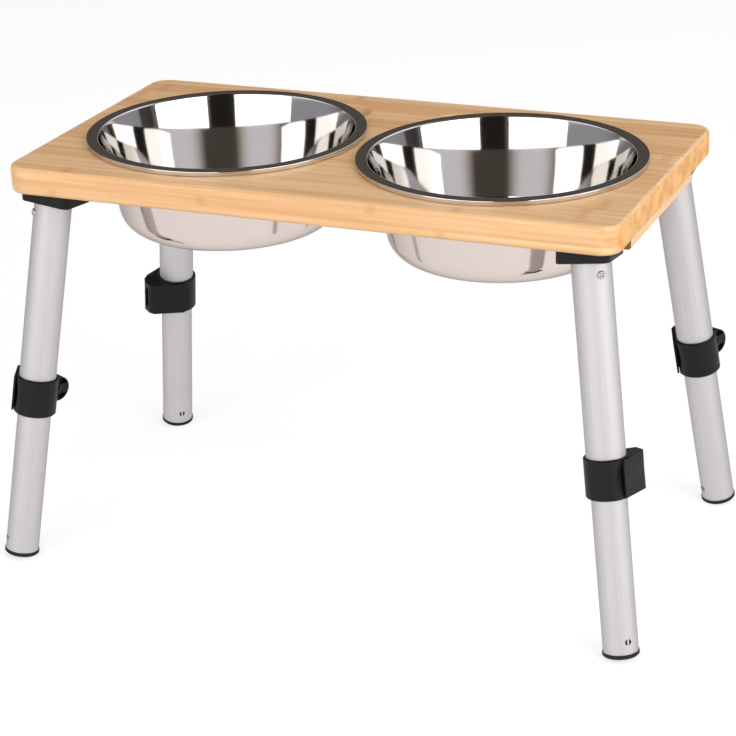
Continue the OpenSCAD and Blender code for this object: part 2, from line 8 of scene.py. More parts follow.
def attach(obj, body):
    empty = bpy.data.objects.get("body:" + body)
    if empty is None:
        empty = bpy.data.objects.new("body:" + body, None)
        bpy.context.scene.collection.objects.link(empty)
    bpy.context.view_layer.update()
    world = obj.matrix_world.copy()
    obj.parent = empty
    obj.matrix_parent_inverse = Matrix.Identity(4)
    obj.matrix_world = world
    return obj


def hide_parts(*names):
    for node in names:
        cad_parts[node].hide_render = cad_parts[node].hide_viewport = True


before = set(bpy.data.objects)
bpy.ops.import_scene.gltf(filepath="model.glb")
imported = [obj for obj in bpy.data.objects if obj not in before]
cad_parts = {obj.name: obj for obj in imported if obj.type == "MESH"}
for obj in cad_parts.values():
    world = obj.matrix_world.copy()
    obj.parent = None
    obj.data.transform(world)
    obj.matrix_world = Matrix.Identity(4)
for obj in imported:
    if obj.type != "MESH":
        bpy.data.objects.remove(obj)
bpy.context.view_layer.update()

# Board
# One slab of laminated bamboo, 450 x 240 x 20 mm, with the two bowl holes routed through it and a finger
# scoop at each hole. Its corners and edges are rounded over, sanded and finished in a satin lacquer.
MM = 0.001
BOARD_L, BOARD_W, BOARD_T, BOARD_TOP = 450, 240, 20, 302
CORNER_R, EDGE_R, HOLE_EDGE = 15, 3, 0.8
CORNER_STEPS, EDGE_STEPS, SMOOTH_ANGLE, EASE_ANGLE = 12, 6, 35, 30
HOLE_R, BOWL_X, BOWL_Y, CUT_PAST = 95.1, 106, -2, 5
SCOOP_D, SCOOP_DEPTH, SCOOP_LIP, SCOOP_REACH, SCOOP_ANGLE = 40, 11, 2, 98.5, 52


def srgb(code):
    """Linear colour of a hex code."""
    parts = [int(code[i:i + 2], 16) / 255 for i in (0, 2, 4)]
    return [c / 12.92 if c <= 0.04045 else ((c + 0.055) / 1.055) ** 2.4 for c in parts] + [1.0]


def add(tree, kind, inputs=(), out=0, **settings):
    """Output of a new node, which is a shader node where its kind has no prefix. Its inputs are given in
    order, or by index or name, each as a value or as another node's output."""
    made = tree.nodes.new(kind if kind.startswith("Geometry") else "ShaderNode" + kind)
    for key, value in settings.items():
        setattr(made, key, value)
    for key, value in inputs.items() if isinstance(inputs, dict) else enumerate(inputs):
        if isinstance(value, bpy.types.NodeSocket):
            tree.links.new(value, made.inputs[key])
        else:
            made.inputs[key].default_value = value
    return made.outputs[out]


def new_material(name, **sockets):
    """A material with its shader's plain sockets set."""
    made = bpy.data.materials.new(name)
    made.use_nodes = True
    shader = made.node_tree.nodes["Principled BSDF"]
    for key, value in sockets.items():
        shader.inputs[key.replace("_", " ")].default_value = value
    return made, made.node_tree, shader.inputs


def new_piece(name, mesh, material, smooth=SMOOTH_ANGLE):
    """An object for a mesh, shaded smooth up to an angle."""
    made = bpy.data.objects.new(name, mesh)
    bpy.context.scene.collection.objects.link(made)
    mesh.materials.clear()
    mesh.materials.append(material)
    mesh.shade_smooth()
    mesh.set_sharp_from_angle(angle=math.radians(smooth))
    return made


def finished(made):
    """The piece with its modifiers made into a plain mesh."""
    graph = bpy.context.evaluated_depsgraph_get()
    mesh = bpy.data.meshes.new_from_object(made.evaluated_get(graph))
    made.modifiers.clear()
    made.data = mesh
    mesh.name = made.name
    return made


# Bamboo: honey-coloured strips about 21 mm wide and three layers deep, each a little different in tone,
# with long pale and dark fibres, a faint knuckle across each strip, and dark fibre ends on the end grain.
# A colour mix has its share at input 0, its two colours at 6 and 7, and its result at output 2.
STRIP_W, LAYER_H, KNUCKLE_GAP = 21.3 * MM, 6.7 * MM, 290 * MM
STRIP_DRIFT, DRIFT_LEN, STRIP_SHIFT, TONE_SEED = 1.6 * MM, 111.1 * MM, 3.0, 3.0
SEAM_INNER, SEAM_OUTER, SEAM_DEPTH = 0.05 * MM, 0.30 * MM, 0.06 * MM
STREAK_LEN, STREAK_W, FIBRE_LEN, FIBRE_W = 170 * MM, 4.5 * MM, 60 * MM, 0.9 * MM
BUNDLE_W, PATCH_W = 1.613 * MM, 14.29 * MM
TONE_PART, STREAK_PART, FIBRE_PART, PART_SHIFT = 0.30, 0.9, 0.35, -0.33
KNUCKLE_STEP, KNUCKLE_SCATTER, KNUCKLE_RAGGED = 0.37, 5.0, 0.022
PALE_FIBRE, DARK_FIBRE = "F5CD9C", "DDA46E"
KNUCKLE_TONE, SEAM_TONE, BUNDLE_TONE = "C98A50", "A9713C", "7E5024"


def laminated_bamboo(name, axis, end_tones):
    """Lacquered bamboo whose strips run along X (axis 0) or Y (axis 1)."""
    made, tree, shader = new_material(name, Coat_Weight=0.1, Coat_Roughness=0.3, Specular_IOR_Level=0.4)
    place = add(tree, "TexCoord", out="Object")
    sides = add(tree, "SeparateXYZ", (place,)).node.outputs
    x, z = sides[axis], sides[2]
    drift = add(tree, "TexNoise", {"Vector": place, "Scale": 1 / DRIFT_LEN, "Detail": 2.0})
    y = add(tree, "Math", (drift, STRIP_DRIFT, sides[1 - axis]), operation="MULTIPLY_ADD")
    strip = add(tree, "Math", (y, STRIP_W), operation="DIVIDE")
    strip = add(tree, "Math", (strip,), operation="FLOOR")
    layer = add(tree, "Math", (z, LAYER_H), operation="DIVIDE")
    layer = add(tree, "Math", (layer,), operation="FLOOR")
    cell = add(tree, "CombineXYZ", (strip, layer, TONE_SEED))
    tone = add(tree, "TexWhiteNoise", {"Vector": cell}, out="Value")
    shifted = add(tree, "Math", (tone, STRIP_SHIFT, x), operation="MULTIPLY_ADD")

    def fibre_of(length, width, detail):
        """Noise drawn out along the strips, for fibres of that length and width."""
        along = add(tree, "Math", (shifted, length), operation="DIVIDE")
        across = add(tree, "Math", (y, width), operation="DIVIDE")
        through = add(tree, "Math", (z, width), operation="DIVIDE")
        where = add(tree, "CombineXYZ", (along, across, through))
        return add(tree, "TexNoise", {"Vector": where, "Scale": 1.0, "Detail": detail})

    streak, fibre = fibre_of(STREAK_LEN, STREAK_W, 3.0), fibre_of(FIBRE_LEN, FIBRE_W, 2.0)
    share = add(tree, "Math", (streak, STREAK_PART, PART_SHIFT), operation="MULTIPLY_ADD")
    share = add(tree, "Math", (tone, TONE_PART, share), operation="MULTIPLY_ADD")
    share = add(tree, "Math", (fibre, FIBRE_PART, share), operation="MULTIPLY_ADD")
    share = add(tree, "MapRange", (share, 0.05, 0.85), interpolation_type="SMOOTHSTEP")
    colour = add(tree, "Mix", {0: share, 6: srgb(PALE_FIBRE), 7: srgb(DARK_FIBRE)}, 2, data_type="RGBA")

    along = add(tree, "Math", (x, KNUCKLE_GAP), operation="DIVIDE")
    start = add(tree, "Math", (strip, KNUCKLE_STEP, tone), operation="MULTIPLY_ADD")
    along = add(tree, "Math", (start, KNUCKLE_SCATTER, along), operation="MULTIPLY_ADD")
    along = add(tree, "Math", (fibre, KNUCKLE_RAGGED, along), operation="MULTIPLY_ADD")
    along = add(tree, "Math", (along,), operation="FRACT")
    offset = add(tree, "Math", (along, 0.5), operation="SUBTRACT")
    offset = add(tree, "Math", (offset,), operation="ABSOLUTE")
    knuckle = add(tree, "MapRange", (offset, 0.002, 0.022, 0.34, 0.0), interpolation_type="SMOOTHSTEP")
    colour = add(tree, "Mix", {0: knuckle, 6: colour, 7: srgb(KNUCKLE_TONE)}, 2, data_type="RGBA")
    edge = add(tree, "Math", (y, STRIP_W / 2), operation="PINGPONG")
    seam = add(tree, "MapRange", (edge, SEAM_INNER, SEAM_OUTER, 0.30, 0.0), interpolation_type="SMOOTHSTEP")
    colour = add(tree, "Mix", {0: seam, 6: colour, 7: srgb(SEAM_TONE)}, 2, data_type="RGBA")

    facing = add(tree, "TexCoord", out="Normal")
    end = add(tree, "SeparateXYZ", (facing,), out=axis)
    end = add(tree, "Math", (end,), operation="ABSOLUTE")
    end = add(tree, "MapRange", (end, 0.75, 0.97), interpolation_type="SMOOTHSTEP")
    section = add(tree, "CombineXYZ", (y, z))
    bundle = add(tree, "TexVoronoi", {"Vector": section, "Scale": 1 / BUNDLE_W, "Randomness": 0.9},
                 out="Distance", voronoi_dimensions="2D")
    patch = add(tree, "TexNoise", {"Vector": section, "Scale": 1 / PATCH_W, "Detail": 2.0})
    share = add(tree, "MapRange", (patch, 0.35, 0.72), interpolation_type="SMOOTHSTEP")
    grain = add(tree, "Mix", {0: share, 6: srgb(end_tones[0]), 7: srgb(end_tones[1])}, 2, data_type="RGBA")
    dots = add(tree, "MapRange", (bundle, 0.16, 0.36, 0.4, 0.0), interpolation_type="SMOOTHSTEP")
    share = add(tree, "MapRange", (patch, 0.40, 0.62), interpolation_type="SMOOTHSTEP")
    dots = add(tree, "Math", (dots, share), operation="MULTIPLY")
    grain = add(tree, "Mix", {0: dots, 6: grain, 7: srgb(BUNDLE_TONE)}, 2, data_type="RGBA")
    share = add(tree, "Math", (end, 0.85), operation="MULTIPLY")
    colour = add(tree, "Mix", {0: share, 6: colour, 7: grain}, 2, data_type="RGBA")
    tree.links.new(colour, shader["Base Color"])

    rough = add(tree, "Math", (fibre, 0.16, 0.36), operation="MULTIPLY_ADD")
    rough = add(tree, "Math", (end, 0.4, rough), operation="MULTIPLY_ADD")
    tree.links.new(rough, shader["Roughness"])
    height = add(tree, "Math", (fibre, 0.5), operation="MULTIPLY")
    height = add(tree, "Math", (height, seam), operation="SUBTRACT")
    bump = add(tree, "Bump", {"Strength": 0.5, "Distance": SEAM_DEPTH, "Height": height})
    tree.links.new(bump, shader["Normal"])
    return made


bamboo = laminated_bamboo("laminated_bamboo_satin_lacquer", 0, ("EDB676", "D89C55"))


def rounded_outline(length, width, radius, steps):
    """Points round a rectangle with rounded corners."""
    points = []
    for turn, (sx, sy) in enumerate(((1, 1), (-1, 1), (-1, -1), (1, -1))):
        for step in range(steps + 1):
            angle = math.radians(90 * (turn + step / steps))
            points.append((sx * (length / 2 - radius) + radius * math.cos(angle),
                           sy * (width / 2 - radius) + radius * math.sin(angle)))
    return points


def lofted(rings):
    """A closed mesh through rings of points, with a flat cap at each end."""
    count = len(rings[0])
    points = [Vector(p) * MM for ring in rings for p in ring]
    faces = [tuple(range(count))[::-1], tuple((len(rings) - 1) * count + i for i in range(count))]
    for ring in range(len(rings) - 1):
        this, after = ring * count, (ring + 1) * count
        for i in range(count):
            j = (i + 1) % count
            faces.append((this + i, this + j, after + j, after + i))
    mesh = bpy.data.meshes.new("lofted")
    mesh.from_pydata(points, [], faces)
    return mesh


def cut_with(made, tools):
    """Cuts meshes out of a piece, one after another."""
    for tool in tools:
        cutter = bpy.data.objects.new("cutter", tool)
        bpy.context.scene.collection.objects.link(cutter)
        cut = made.modifiers.new("cut", "BOOLEAN")
        cut.operation, cut.solver, cut.object = "DIFFERENCE", "EXACT", cutter
        finished(made)
        bpy.data.objects.remove(cutter)
    return made


def eased(made, width, steps=3):
    """Rounds the sharp edges of a piece."""
    bevel = made.modifiers.new("ease", "BEVEL")
    bevel.width, bevel.segments, bevel.limit_method = width * MM, steps, "ANGLE"
    bevel.angle_limit, bevel.use_clamp_overlap = math.radians(EASE_ANGLE), True
    bevel.harden_normals = False
    made.modifiers.new("even", "WEIGHTED_NORMAL").keep_sharp = True
    return finished(made)


def disc_tool(radius, low, high, at, steps=192):
    """A drum, to cut with or to stand on."""
    turn = [math.tau * i / steps for i in range(steps)]
    return lofted([[(at[0] + radius * math.cos(a), at[1] + radius * math.sin(a), level) for a in turn]
                   for level in (low, high)])


def scoop_tool(radius, depth, lip, at, steps=128):
    """A ball-shaped hollow to cut with, that deep and with a rounded lip."""
    rise = radius - depth
    lip_r = math.sqrt((radius + lip) ** 2 - (rise + lip) ** 2)
    meet = math.atan2(rise + lip, lip_r)
    ball_steps, lip_steps, pole = 24, 8, math.radians(89)
    ball = [-pole + (pole - meet) * i / ball_steps for i in range(ball_steps + 1)]
    curve = [(radius * math.cos(a), rise + radius * math.sin(a)) for a in ball]
    round_lip = [math.pi - meet + (meet - math.pi / 2) * i / lip_steps for i in range(1, lip_steps + 1)]
    curve += [(lip_r + lip * math.cos(a), -lip + lip * math.sin(a)) for a in round_lip] + [(lip_r, CUT_PAST)]
    turn = [math.tau * i / steps for i in range(steps)]
    return lofted([[(at[0] + r * math.cos(a), at[1] + r * math.sin(a), at[2] + level) for a in turn]
                   for r, level in curve])


rings = []
for step in range(-EDGE_STEPS, EDGE_STEPS + 1):
    lift = math.radians(90 / EDGE_STEPS * step)
    inset = EDGE_R * (1 - math.cos(lift))
    level = (BOARD_T - EDGE_R if step >= 0 else EDGE_R) + EDGE_R * math.sin(lift)
    rings += [[(px, py, BOARD_TOP - BOARD_T + level) for px, py in
               rounded_outline(BOARD_L - 2 * inset, BOARD_W - 2 * inset, CORNER_R - inset, CORNER_STEPS)]]
    if step == 0:
        rings.insert(-1, [(px, py, BOARD_TOP - BOARD_T + EDGE_R) for px, py, _ in rings[-1]])
board = new_piece("bamboo_board", lofted(rings), bamboo)
ball_r = ((SCOOP_D / 2) ** 2 + SCOOP_DEPTH ** 2) / (2 * SCOOP_DEPTH)
tools = []
for side in (-1, 1):
    low, high = BOARD_TOP - BOARD_T - CUT_PAST, BOARD_TOP + CUT_PAST
    tools.append(disc_tool(HOLE_R, low, high, (side * BOWL_X, BOWL_Y)))
    turn = math.radians(SCOOP_ANGLE if side < 0 else 180 - SCOOP_ANGLE)
    scoop_x, scoop_y = side * BOWL_X + SCOOP_REACH * math.cos(turn), BOWL_Y + SCOOP_REACH * math.sin(turn)
    tools.append(scoop_tool(ball_r, SCOOP_DEPTH, SCOOP_LIP, (scoop_x, scoop_y, BOARD_TOP)))
board = eased(cut_with(board, tools), HOLE_EDGE)
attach(board, "stand")
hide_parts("board")

# Battens
# A bamboo strip under each end of the board keeps it flat. It is planed, bevelled along its lower edges
# and held to the board by two sunk screws. Its strips run from front to back, and its sawn ends are end
# grain, painted darker still as the shade under the board.
BATTEN_EDGE, EDGE_SEGMENTS, MERGE_GAP, FLAT_ANGLE = 0.5, 2, 1e-6, 0.4
# The end tones are end grain and painted shade: far darker than the board's, for the shade under the board.
crosswise = laminated_bamboo("crosswise_bamboo_satin_lacquer", 1, ("8A5D33", "6B4524"))


def softened(name, node, material, width):
    """A copy of a node's solid, with its sharp edges rounded."""
    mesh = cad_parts[node].data.copy()
    work = bmesh.new()
    work.from_mesh(mesh)
    bmesh.ops.remove_doubles(work, verts=work.verts, dist=MERGE_GAP)
    bmesh.ops.dissolve_limit(work, angle_limit=math.radians(FLAT_ANGLE), verts=work.verts, edges=work.edges)
    work.to_mesh(mesh)
    work.free()
    return eased(new_piece(name, mesh, material), width, EDGE_SEGMENTS)


for side in ("left", "right"):
    batten = softened("batten_" + side + "_strip", "batten_" + side, crosswise, BATTEN_EDGE)
    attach(batten, "stand")
    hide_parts("batten_" + side)

# Leg plates
# A wedge of glass-filled nylon under each corner, moulded in black with a fine spark-eroded grain. Four
# screws hold it to the board, and its spigot carries the leg tube.
LEGS = {"front_left": (-1, -1), "front_right": (1, -1), "back_left": (-1, 1), "back_right": (1, 1)}
PLATE_EDGE = 0.7
NYLON_CLOUD, NYLON_GRIT, GRIT_DEPTH = 6.25 * MM, 0.1923 * MM, 0.03 * MM


def mottle(tree, shader, share, tones, rough):
    """Joins a mix of two tones to a shader's colour, and a roughness that varies with it."""
    colour = add(tree, "Mix", {0: share, 6: srgb(tones[0]), 7: srgb(tones[1])}, 2, data_type="RGBA")
    tree.links.new(colour, shader["Base Color"])
    rough = add(tree, "Math", (share, rough[1], rough[0]), operation="MULTIPLY_ADD")
    tree.links.new(rough, shader["Roughness"])


# Nylon: near black and half matt, with faint clouds and a fine grain that softens the highlights.
nylon, tree, shader = new_material("moulded_black_nylon", Specular_IOR_Level=0.2)
place = add(tree, "TexCoord", out="Object")
cloud = add(tree, "TexNoise", {"Vector": place, "Scale": 1 / NYLON_CLOUD, "Detail": 3.0})
mottle(tree, shader, cloud, ("0F0F0F", "161515"), (0.42, 0.14))
grit = add(tree, "TexNoise", {"Vector": place, "Scale": 1 / NYLON_GRIT, "Detail": 2.0})
bump = add(tree, "Bump", {"Strength": 0.35, "Distance": GRIT_DEPTH, "Height": grit})
tree.links.new(bump, shader["Normal"])
for leg in LEGS:
    plate = softened("wedge_plate_" + leg, "leg_plate_" + leg, nylon, PLATE_EDGE)
    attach(plate, "stand")
    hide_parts("leg_plate_" + leg)

# Wood screws
# Zinc-plated steel screws with a cross recess, sunk in the plates and the battens. The solids themselves
# are shown.
BLOOM_W = 1.111 * MM


def bloomed_metal(name, tones, rough):
    """Metal of small hardware, with a faint cloudy bloom."""
    made, tree, shader = new_material(name, Metallic=1.0)
    place = add(tree, "TexCoord", out="Object")
    bloom = add(tree, "TexNoise", {"Vector": place, "Scale": 1 / BLOOM_W, "Detail": 3.0})
    mottle(tree, shader, bloom, tones, rough)
    return made


def plated(node, material):
    """Gives a node's own solid a material."""
    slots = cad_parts[node].data.materials
    slots.clear()
    slots.append(material)


# Zinc plate: pale, a little blue and half bright.
zinc = bloomed_metal("zinc_plated_steel", ("C9CACC", "B4B6BA"), (0.2, 0.2))
for node in ("batten_screws", "plate_screws"):
    plated(node, zinc)

# Upper leg tubes
# Drawn aluminium tube, 27 mm across and satin anodised, with fine lines along it. It is pushed onto the
# plate's spigot and held by one rivet.
LEG_X, LEG_Y, SPLAY, PLATE_T = 199, 94.5, 7.1, 10.6
TUBE_D, TUBE_WALL, TUBE_LEN, TUBE_BREAK, TUBE_STEPS = 27, 1, 149.5, 0.25, 96
LINE_W, LINE_LEN, LINE_DEPTH, HAZE_W, HAZE_LEN = 0.3262, 111.1, 0.02, 12.12, 33.33
# The last of these colours is painted shade: a dark tint that darkens the tubes towards their edges.
TUBE_PALE, TUBE_DARK, TUBE_EDGE_SHADE = "D3D0D1", "C3C0C1", "767676"
LEAN = math.atan(math.tan(math.radians(SPLAY)) * math.cos(math.radians(SPLAY)))

# Satin aluminium: pale grey with broad soft highlights. A dark grey tint on its grazing reflection paints
# shade towards its edges. The drawing lines are wider than real ones, so that they show.
aluminium, tree, shader = new_material("satin_anodised_aluminium", Metallic=1.0,
                                       Specular_Tint=srgb(TUBE_EDGE_SHADE))
turn_uv = add(tree, "UVMap", uv_map="turned")
scale = (math.pi * TUBE_D / LINE_W, 1 / (LINE_LEN * MM), 1.0)
lines = add(tree, "Mapping", {"Vector": turn_uv, "Scale": scale})
lines = add(tree, "TexNoise", {"Vector": lines, "Scale": 1.0, "Detail": 3.0})
scale = (math.pi * TUBE_D / HAZE_W, 1 / (HAZE_LEN * MM), 1.0)
haze = add(tree, "Mapping", {"Vector": turn_uv, "Scale": scale})
haze = add(tree, "TexNoise", {"Vector": haze, "Scale": 1.0, "Detail": 2.0})
colour = add(tree, "Mix", {0: lines, 6: srgb(TUBE_PALE), 7: srgb(TUBE_DARK)}, 2, data_type="RGBA")
tree.links.new(colour, shader["Base Color"])
rough = add(tree, "Math", (haze, 0.06, 0.56), operation="MULTIPLY_ADD")
rough = add(tree, "Math", (lines, 0.10, rough), operation="MULTIPLY_ADD")
tree.links.new(rough, shader["Roughness"])
bump = add(tree, "Bump", {"Strength": 0.3, "Distance": LINE_DEPTH * MM, "Height": lines})
tree.links.new(bump, shader["Normal"])


def leg_place(leg):
    """Frame of a leg: under the board on the leg's axis, with Z up along it."""
    sx, sy = LEGS[leg]
    return (Matrix.Translation(Vector((sx * LEG_X, sy * LEG_Y, BOARD_TOP - BOARD_T)) * MM)
            @ Matrix.Rotation(math.radians(-sx * SPLAY), 4, "Y") @ Matrix.Rotation(sy * LEAN, 4, "X"))


def turned(profile, where, steps, loop):
    """A mesh turned from a profile of radius and height, with a UV map of turns and metres along it.
    A loop is a ring's section; otherwise the profile runs from the axis to the axis."""
    run = [0.0]
    for (r0, z0), (r1, z1) in zip(profile, profile[1:] + profile[:1]):
        run.append(run[-1] + math.hypot(r1 - r0, z1 - z0) * MM)
    on_axis = [r < 1e-9 for r, level in profile]
    points, start = [], []
    for (r, level), single in zip(profile, on_axis):
        start.append(len(points))
        for i in range(1 if single else steps):
            a = math.tau * i / steps
            points.append(where @ (Vector((r * math.cos(a), r * math.sin(a), level)) * MM))
    faces, uvs = [], []
    count = len(profile)
    for k in range(count if loop else count - 1):
        m = (k + 1) % count
        for i in range(steps):
            j = (i + 1) % steps
            u0, u1, v0, v1 = i / steps, (i + 1) / steps, run[k], run[k + 1]
            if on_axis[k]:
                faces.append((start[k], start[m] + j, start[m] + i))
                uvs.append(((u0, v0), (u1, v1), (u0, v1)))
            elif on_axis[m]:
                faces.append((start[k] + i, start[k] + j, start[m]))
                uvs.append(((u0, v0), (u1, v0), (u0, v1)))
            else:
                faces.append((start[k] + i, start[k] + j, start[m] + j, start[m] + i))
                uvs.append(((u0, v0), (u1, v0), (u1, v1), (u0, v1)))
    mesh = bpy.data.meshes.new("turned")
    mesh.from_pydata(points, [], faces)
    corners = [c for face in uvs for corner in face for c in corner]
    mesh.uv_layers.new(name="turned").data.foreach_set("uv", corners)
    return mesh


def tube_section(outer, wall, low, high):
    """Section of a tube's wall with its end corners broken."""
    inner, cut = outer - wall, TUBE_BREAK
    return [(inner, low + cut), (inner + cut, low), (outer - cut, low), (outer, low + cut),
            (outer, high - cut), (outer - cut, high), (inner + cut, high), (inner, high - cut)]


for leg in LEGS:
    section = tube_section(TUBE_D / 2, TUBE_WALL, -PLATE_T - TUBE_LEN, -PLATE_T)
    tube = new_piece("upper_leg_tube_" + leg, turned(section, leg_place(leg), TUBE_STEPS, True), aluminium)
    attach(tube, "stand")
    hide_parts("upper_tube_" + leg)

# Rivets
# A blind rivet through each tube and spigot, facing out along the diagonal. Its low domed head has the
# hole of the drawn mandrel in the middle.
RIVET_DROP, RIVET_R, RIVET_H, MANDREL_R = 9, 2.9, 1.3, 0.8

# Drawn aluminium: a mid grey, and duller than the tubes.
dull = bloomed_metal("drawn_aluminium", ("B9B8B9", "A5A4A5"), (0.4, 0.2))


def outward(leg):
    """Turn that points Z out along a leg's diagonal."""
    sx, sy = LEGS[leg]
    return Matrix.Rotation(math.atan2(sy, sx), 4, "Z") @ Matrix.Rotation(math.pi / 2, 4, "Y")


def spread_over(name, tree, places, sizes):
    """Runs a tree on a mesh of points with a turn at each, and gives the result as a plain piece."""
    mesh = bpy.data.meshes.new(name)
    mesh.from_pydata([p.to_translation() for p in places], [], [])
    turns = mesh.attributes.new("turn", "QUATERNION", "POINT")
    for item, p in zip(turns.data, places):
        item.value = p.to_quaternion()
    made = bpy.data.objects.new(name, mesh)
    bpy.context.scene.collection.objects.link(made)
    run = made.modifiers.new("spread", "NODES")
    run.node_group = tree
    for item in tree.interface.items_tree:
        if item.in_out == "INPUT" and item.name in sizes:
            run[item.identifier] = sizes[item.name]
    finished(made)
    made.data.shade_smooth()
    made.data.set_sharp_from_angle(angle=math.radians(SMOOTH_ANGLE))
    return made


rivet_tree = bpy.data.node_groups.new("blind_rivets", "GeometryNodeTree")
rivet_tree.interface.new_socket("Geometry", in_out="INPUT", socket_type="NodeSocketGeometry")
rivet_sizes = {"Head radius": RIVET_R * MM, "Head height": RIVET_H * MM, "Mandrel radius": MANDREL_R * MM}
for label, value in rivet_sizes.items():
    socket = rivet_tree.interface.new_socket(label, in_out="INPUT", socket_type="NodeSocketFloat")
    socket.default_value = value
rivet_tree.interface.new_socket("Geometry", in_out="OUTPUT", socket_type="NodeSocketGeometry")
given = rivet_tree.nodes.new("NodeGroupInput").outputs
ring_r = add(rivet_tree, "Math", (given["Head radius"], given["Mandrel radius"]), operation="ADD")
ring_r = add(rivet_tree, "Math", (ring_r, 0.5), operation="MULTIPLY")
ring_w = add(rivet_tree, "Math", (given["Head radius"], given["Mandrel radius"]), operation="SUBTRACT")
ring_w = add(rivet_tree, "Math", (ring_w, 0.5), operation="MULTIPLY")
path = add(rivet_tree, "GeometryNodeCurvePrimitiveCircle", {"Resolution": 40, "Radius": ring_r})
edge = add(rivet_tree, "GeometryNodeCurvePrimitiveCircle", {"Resolution": 20, "Radius": 1.0})
dome = add(rivet_tree, "CombineXYZ", (ring_w, given["Head height"], 1.0))
edge = add(rivet_tree, "GeometryNodeTransform", {"Geometry": edge, "Scale": dome})
head = add(rivet_tree, "GeometryNodeCurveToMesh", {"Curve": path, "Profile Curve": edge})
core = add(rivet_tree, "GeometryNodeMeshCylinder",
           {"Vertices": 24, "Radius": given["Mandrel radius"], "Depth": given["Head height"]})
whole = add(rivet_tree, "GeometryNodeJoinGeometry", (head,))
rivet_tree.links.new(core, whole.node.inputs[0])
turn = add(rivet_tree, "GeometryNodeInputNamedAttribute", {"Name": "turn"}, data_type="QUATERNION")
spots = add(rivet_tree, "GeometryNodeMeshToPoints", {"Mesh": given["Geometry"]})
placed = add(rivet_tree, "GeometryNodeInstanceOnPoints",
             {"Points": spots, "Instance": whole, "Rotation": turn})
solid = add(rivet_tree, "GeometryNodeRealizeInstances", {"Geometry": placed})
solid = add(rivet_tree, "GeometryNodeSetMaterial", {"Geometry": solid, "Material": dull})
rivet_tree.links.new(solid, rivet_tree.nodes.new("NodeGroupOutput").inputs[0])
places = [leg_place(leg) @ Matrix.Translation((0, 0, -(PLATE_T + RIVET_DROP) * MM)) @ outward(leg)
          @ Matrix.Translation((0, 0, TUBE_D / 2 * MM)) for leg in LEGS]
rivets = spread_over("blind_rivets", rivet_tree, places, rivet_sizes)
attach(rivets, "stand")
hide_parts("tube_rivets")

# Clamp collars
# A split collar moulded in black nylon grips the end of each upper tube. An eye bolt and a nut draw its two
# ears together, and the barrel has a flat where the closed lever lies.
COLLAR_EDGE = 0.45
for leg in LEGS:
    collar = softened("clamp_collar_" + leg, "collar_" + leg, nylon, COLLAR_EDGE)
    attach(collar, "stand")
    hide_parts("collar_" + leg)

# Clamp bolts, nuts and pins
# Steel hardware with a black zinc finish: an eye bolt and its nut through the ears, and the lever's pin.
# Black zinc: dark grey with a soft shine.
blackened = bloomed_metal("black_passivated_zinc_steel", ("39393A", "2B2B2C"), (0.35, 0.2))
for node in ("clamp_bolts", "clamp_nuts", "lever_pins"):
    plated(node, blackened)

# Clamp levers
# The cam lever on each collar's pin, moulded in the same nylon. It is cored inside the elbow, and a shallow
# groove for the thumb runs out along its flat face.
LEVER_EDGE = 0.5
for leg in LEGS:
    lever = softened("cam_lever_" + leg, "lever_" + leg, nylon, LEVER_EDGE)
    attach(lever, "lever_body_" + leg)
    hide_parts("lever_" + leg)

# Lower leg tubes
# The inner tube of each telescopic leg, 24.5 mm across and of the same satin aluminium. A nylon bush on
# its top guides it inside the upper tube.
LOWER_D, LOWER_WALL, OVERLAP, BUSH_LAND = 24.5, 1, 40, 8
FOOT_D, FOOT_T, FOOT_FLAT = 25.6, 3, 0.5
COS_TILT = math.cos(LEAN) * math.cos(math.radians(SPLAY))
LEG_LEN = (BOARD_TOP - BOARD_T - FOOT_D / 2 * math.sqrt(1 - COS_TILT ** 2) + FOOT_FLAT) / COS_TILT
for leg in LEGS:
    top = -(PLATE_T + TUBE_LEN - OVERLAP + BUSH_LAND)
    section = tube_section(LOWER_D / 2, LOWER_WALL, -LEG_LEN + FOOT_T, top)
    tube = new_piece("lower_leg_tube_" + leg, turned(section, leg_place(leg), TUBE_STEPS, True), aluminium)
    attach(tube, "lower_leg_" + leg)
    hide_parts("lower_tube_" + leg)
    plated("guide_bush_" + leg, nylon)

# Feet
# A black rubber-like plug closes each lower tube. Its thin flange stands on the floor, and two round nubs
# snap into holes in the tube.
FOOT_EDGE, SCUFF_W, SCUFF_DEPTH = 0.3, 3.333, 0.04

# Rubber: matt black, with faint scuffs.
rubber, tree, shader = new_material("moulded_black_rubber", Specular_IOR_Level=0.3)
place = add(tree, "TexCoord", out="Object")
scuff = add(tree, "TexNoise", {"Vector": place, "Scale": 1 / (SCUFF_W * MM), "Detail": 4.0})
mottle(tree, shader, scuff, ("131313", "1D1C1B"), (0.55, 0.2))
bump = add(tree, "Bump", {"Strength": 0.3, "Distance": SCUFF_DEPTH * MM, "Height": scuff})
tree.links.new(bump, shader["Normal"])
for leg in LEGS:
    foot = softened("foot_plug_" + leg, "foot_" + leg, rubber, FOOT_EDGE)
    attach(foot, "lower_leg_" + leg)
    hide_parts("foot_" + leg)

# Bowls
# Deep-drawn stainless steel sheet with a flat flange that hangs on the board. The flange's edge is rolled
# under and pressed flat. The inside is polished bright, and the outside is left a little duller.
RIM_R, MOUTH_R, BOWL_DEPTH, SHEET = 102.3, 93.4, 66, 0.9
WALL_LEAN, FLARE_LEAN, FLARE_R = 11.5, 18, 236
INNER_FILLET, OUTER_FILLET, SHOULDER_R = 17.5, 18.4, 1.5
ROLL_H, FOLD_R, FOLD_W, SEAT_GAP = 3.4, 0.5, 3.4, 0.2
RING_SPELLS, RING_W, RING_DEPTH = 5.0, 0.3125, 0.01
BOWL_STEPS, BOWL_SMOOTH = 240, 50
FLOOR_STEPS, FILLET_STEPS, WALL_STEPS, FLARE_STEPS = 8, 24, 12, 16
SHOULDER_STEPS, FLANGE_STEPS, FOLD_STEPS = 10, 4, 8


